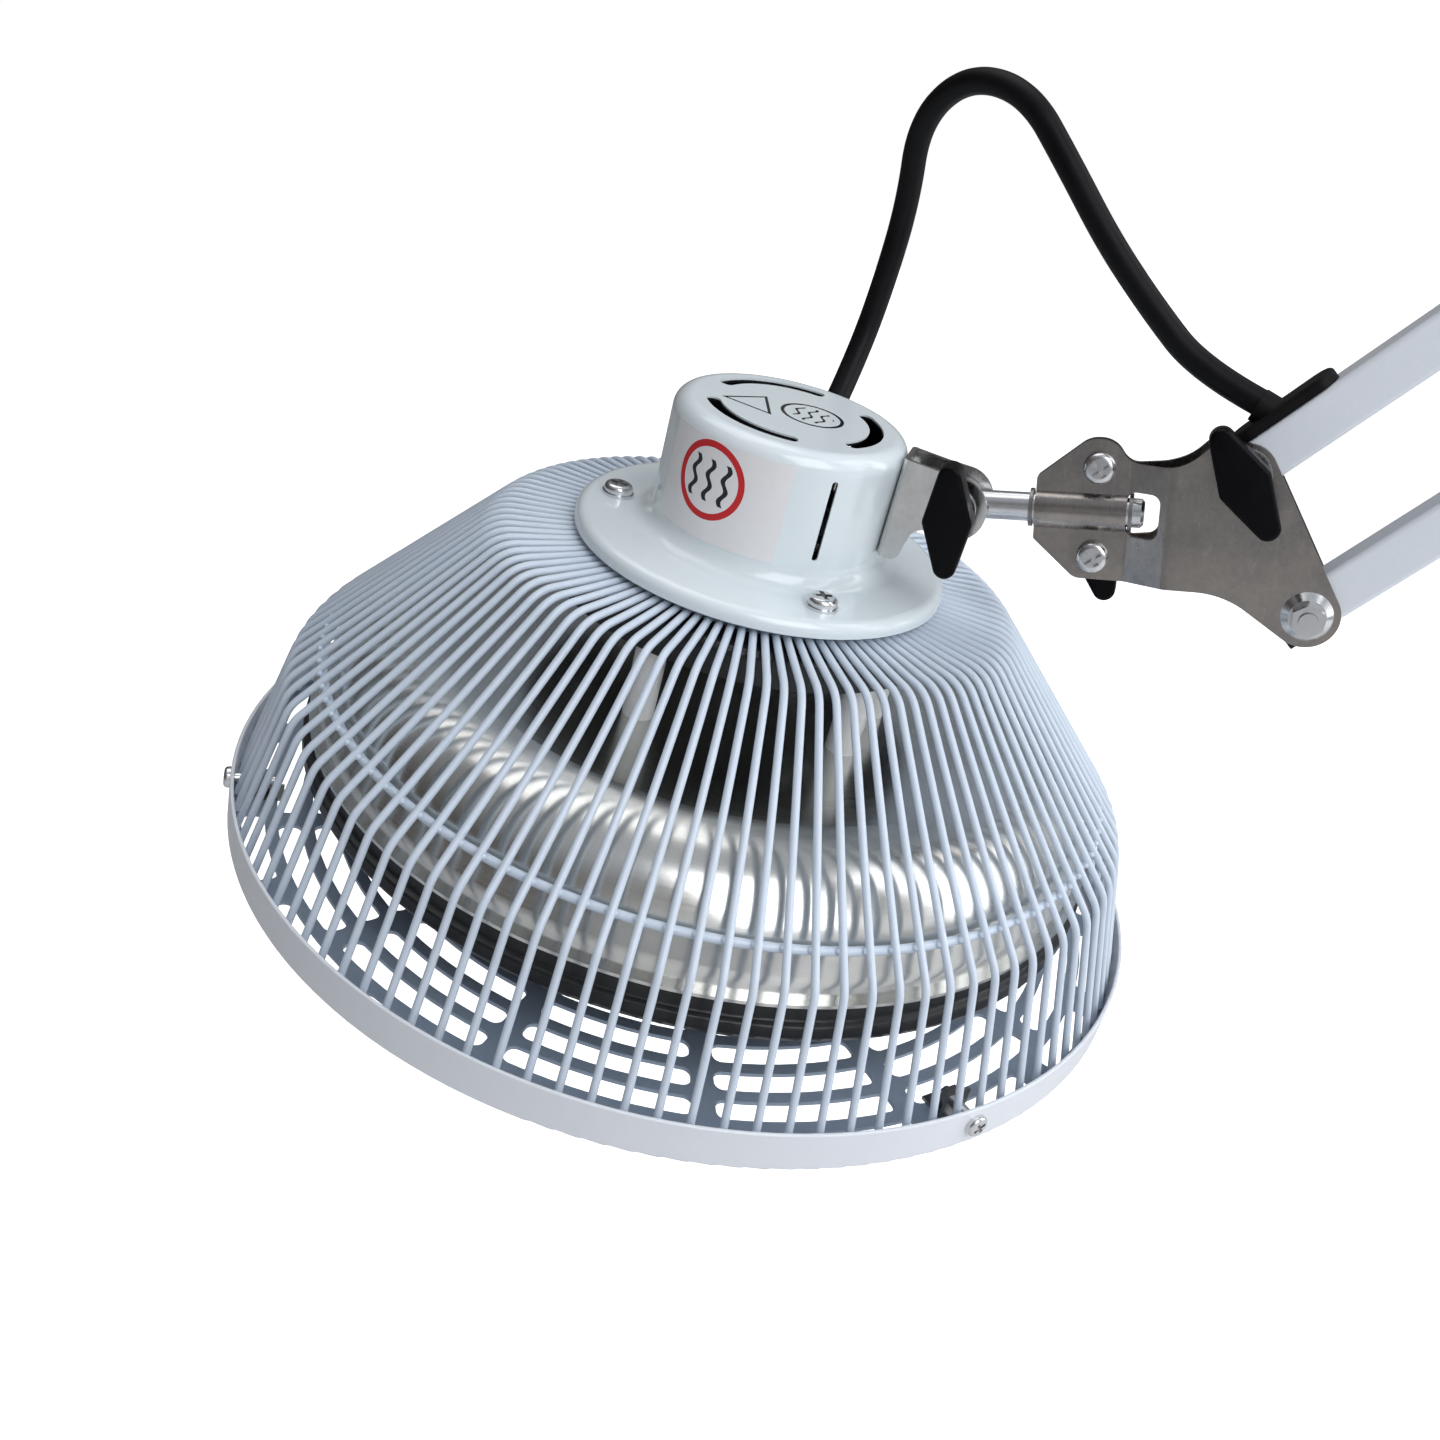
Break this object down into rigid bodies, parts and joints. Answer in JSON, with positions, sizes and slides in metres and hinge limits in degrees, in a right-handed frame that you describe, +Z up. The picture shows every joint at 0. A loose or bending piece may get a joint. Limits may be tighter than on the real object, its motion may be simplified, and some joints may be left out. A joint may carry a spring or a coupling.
{
  "type": "heat lamp fixture",
  "caption": "Domed mineral-plate heat lamp head in a wire guard, hung from a tilting, rolling stem on a parallelogram arm that swivels on a spigot.",
  "frame": {"origin": "spigot axis at the underside of its collar", "axes": "+Z up along the spigot, the arms in the XZ plane with the head toward -X"},
  "size_m": [0.6905, 0.2911, 0.4267],
  "materials": {
    "bright_steel": "bright zinc, slightly brushed",
    "dark_steel": "spring steel, darkened",
    "zinc_plate": "zinc plated, satin",
    "nylon": "natural nylon, satin",
    "black_knob": "moulded, satin",
    "black_plug": "moulded, matte",
    "black_rubber": "smooth, matte",
    "white_arm": "white powder coat",
    "white_guard": "cool white paint, semi gloss",
    "blue_grey": "blue grey paint, satin",
    "white_cap": "white gloss paint",
    "black_enamel": "black gloss enamel",
    "mirror_aluminium": "mirror polished",
    "ceramic": null,
    "mineral": null,
    "fibre": "ceramic fibre felt",
    "white_wire": "white glass sleeve"
  },
  "bodies": {
    "mast": {"spigot": "bright_steel", "swivel_washers": "nylon", "spigot_nut": "bright_steel"},
    "rear_bracket": {"rear_front_plate": "zinc_plate", "rear_back_plate": "zinc_plate", "rear_bolts": "bright_steel", "rear_nuts": "bright_steel", "rear_pivot_sleeves": "bright_steel"},
    "swivel_knob": {"swivel_lock_knob": "black_knob"},
    "upper_arm": {"upper_arm_tube": "white_arm", "upper_arm_plugs": "black_plug", "cable_grommet": "black_rubber", "rear_grommet": "black_rubber", "arm_leads": "black_rubber", "cord_arm_end": "black_rubber"},
    "lower_arm": {"lower_arm_tube": "white_arm", "lower_arm_plugs": "black_plug"},
    "front_bracket": {"front_clamp_plate": "zinc_plate", "back_clamp_plate": "zinc_plate", "clamp_screws": "bright_steel", "clamp_nuts": "bright_steel", "arm_lock_bolt": "bright_steel", "front_pivot_bolt": "bright_steel", "front_pivot_sleeves": "bright_steel"},
    "arm_knob": {"arm_lock_knob": "black_knob"},
    "stem_knob": {"stem_clamp_knob": "black_knob"},
    "stem_body": {"stem": "bright_steel", "stem_rings": "dark_steel", "cord_middle": "black_rubber"},
    "lamp_head": {"guard_hub": "white_guard", "guard_wires": "white_guard", "guard_ring": "white_guard", "guard_band": "white_guard", "grille_plate": "blue_grey", "rim_screws": "bright_steel", "rim_clips": "dark_steel", "cap_housing": "white_cap", "cap_screws": "bright_steel", "cord_gland": "black_rubber", "base_pan": "black_enamel", "weld_nuts": "bright_steel", "ceramic_posts": "ceramic", "post_screws": "bright_steel", "reflector": "mirror_aluminium", "lead_bushings": "ceramic", "thermal_cutout": "black_plug", "emitter_ring": "black_enamel", "mineral_plate": "mineral", "heater_former": "ceramic", "heating_coil": "dark_steel", "insulation_disc": "fibre", "heater_back_plate": "bright_steel", "heater_screws": "bright_steel", "terminal_block": "ceramic", "internal_wiring": "white_wire", "tilt_bracket": "zinc_plate", "tilt_rivets": "bright_steel", "tilt_bolt": "bright_steel", "cord_head_end": "black_rubber"},
    "tilt_knob_body": {"tilt_knob": "black_knob"}
  },
  "joints": [
    {"name": "arm_swivel", "type": "hinge", "parent": "mast", "child": "rear_bracket", "pos_m": [0, 0, 0.018], "axis": [0, 0, 1], "range_deg": [-180, 180]},
    {"name": "arm_lift", "type": "hinge", "parent": "rear_bracket", "child": "upper_arm", "pos_m": [-0.075, 0, 0.03625], "axis": [0, 1, 0], "range_deg": [-35, 70]},
    {"name": "lower_arm_follow", "type": "hinge", "parent": "rear_bracket", "child": "lower_arm", "pos_m": [-0.055, 0, -0.00025], "axis": [0, 1, 0], "range_deg": [-36, 71]},
    {"name": "front_bracket_follow", "type": "hinge", "parent": "upper_arm", "child": "front_bracket", "pos_m": [-0.3661, 0, -0.20801], "axis": [0, 1, 0], "range_deg": [-71, 36], "deforming": ["cord_middle", "cord_arm_end"]},
    {"name": "head_roll", "type": "hinge", "parent": "front_bracket", "child": "stem_body", "pos_m": [-0.4414, 0, -0.22121], "axis": [1, 0, 0], "range_deg": [-90, 90], "deforming": ["cord_head_end", "cord_middle", "cord_arm_end"]},
    {"name": "head_tilt", "type": "hinge", "parent": "stem_body", "child": "lamp_head", "pos_m": [-0.4414, 0, -0.22121], "axis": [0, 0.9956, 0.0941], "range_deg": [-20, 90], "deforming": ["cord_head_end", "cord_middle"]},
    {"name": "tilt_knob_turn", "type": "hinge", "parent": "lamp_head", "child": "tilt_knob_body", "pos_m": [-0.4414, 0, -0.22121], "axis": [0, -0.9956, -0.0941], "range_deg": [-180, 180]},
    {"name": "arm_knob_turn", "type": "hinge", "parent": "front_bracket", "child": "arm_knob", "pos_m": [-0.3661, 0, -0.20801], "axis": [0, -1, 0], "range_deg": [-180, 180]},
    {"name": "stem_knob_turn", "type": "hinge", "parent": "front_bracket", "child": "stem_knob", "pos_m": [-0.4031, 0, -0.23351], "axis": [0, 1, 0], "range_deg": [-180, 180]},
    {"name": "swivel_knob_turn", "type": "hinge", "parent": "rear_bracket", "child": "swivel_knob", "pos_m": [0.0143, 0, 0.018], "axis": [0, -1, 0], "range_deg": [-180, 180]}
  ],
  "couplings": [
    {"joint": "lower_arm_follow", "follows": "arm_lift", "ratio": 1},
    {"joint": "front_bracket_follow", "follows": "arm_lift", "ratio": -1}
  ]
}
